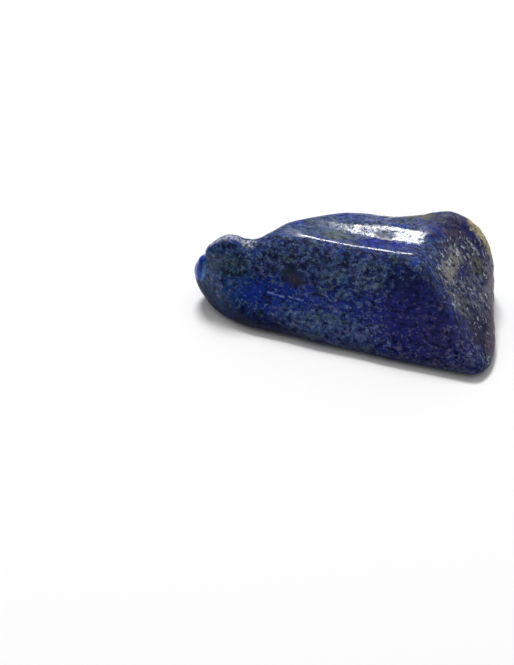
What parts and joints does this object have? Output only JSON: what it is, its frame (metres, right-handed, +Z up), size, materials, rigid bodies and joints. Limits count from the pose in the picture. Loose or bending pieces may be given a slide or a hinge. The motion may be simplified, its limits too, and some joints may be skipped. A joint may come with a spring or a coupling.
{
  "type": "rough lapis lazuli",
  "caption": "Wedge-shaped tumbled piece of rough lapis lazuli with flat broken faces, worn edges and a small bead at its narrow tip; lies on a flat spot underneath.",
  "frame": {"origin": "bottom centre of the stone's box, on the surface it lies on", "axes": "+X along the length, from the narrow tip to the blunt end; +Y from the broad front face towards the back; +Z up"},
  "size_m": [0.0572, 0.0252, 0.0187],
  "materials": {
    "polished_lapis": "tumbled to a gloss: deep ultramarine mottled with grey-blue calcite, with a dull, pitted end slope and back edge"
  },
  "bodies": {
    "root": {"lapis_stone": "polished_lapis"}
  },
  "joints": []
}
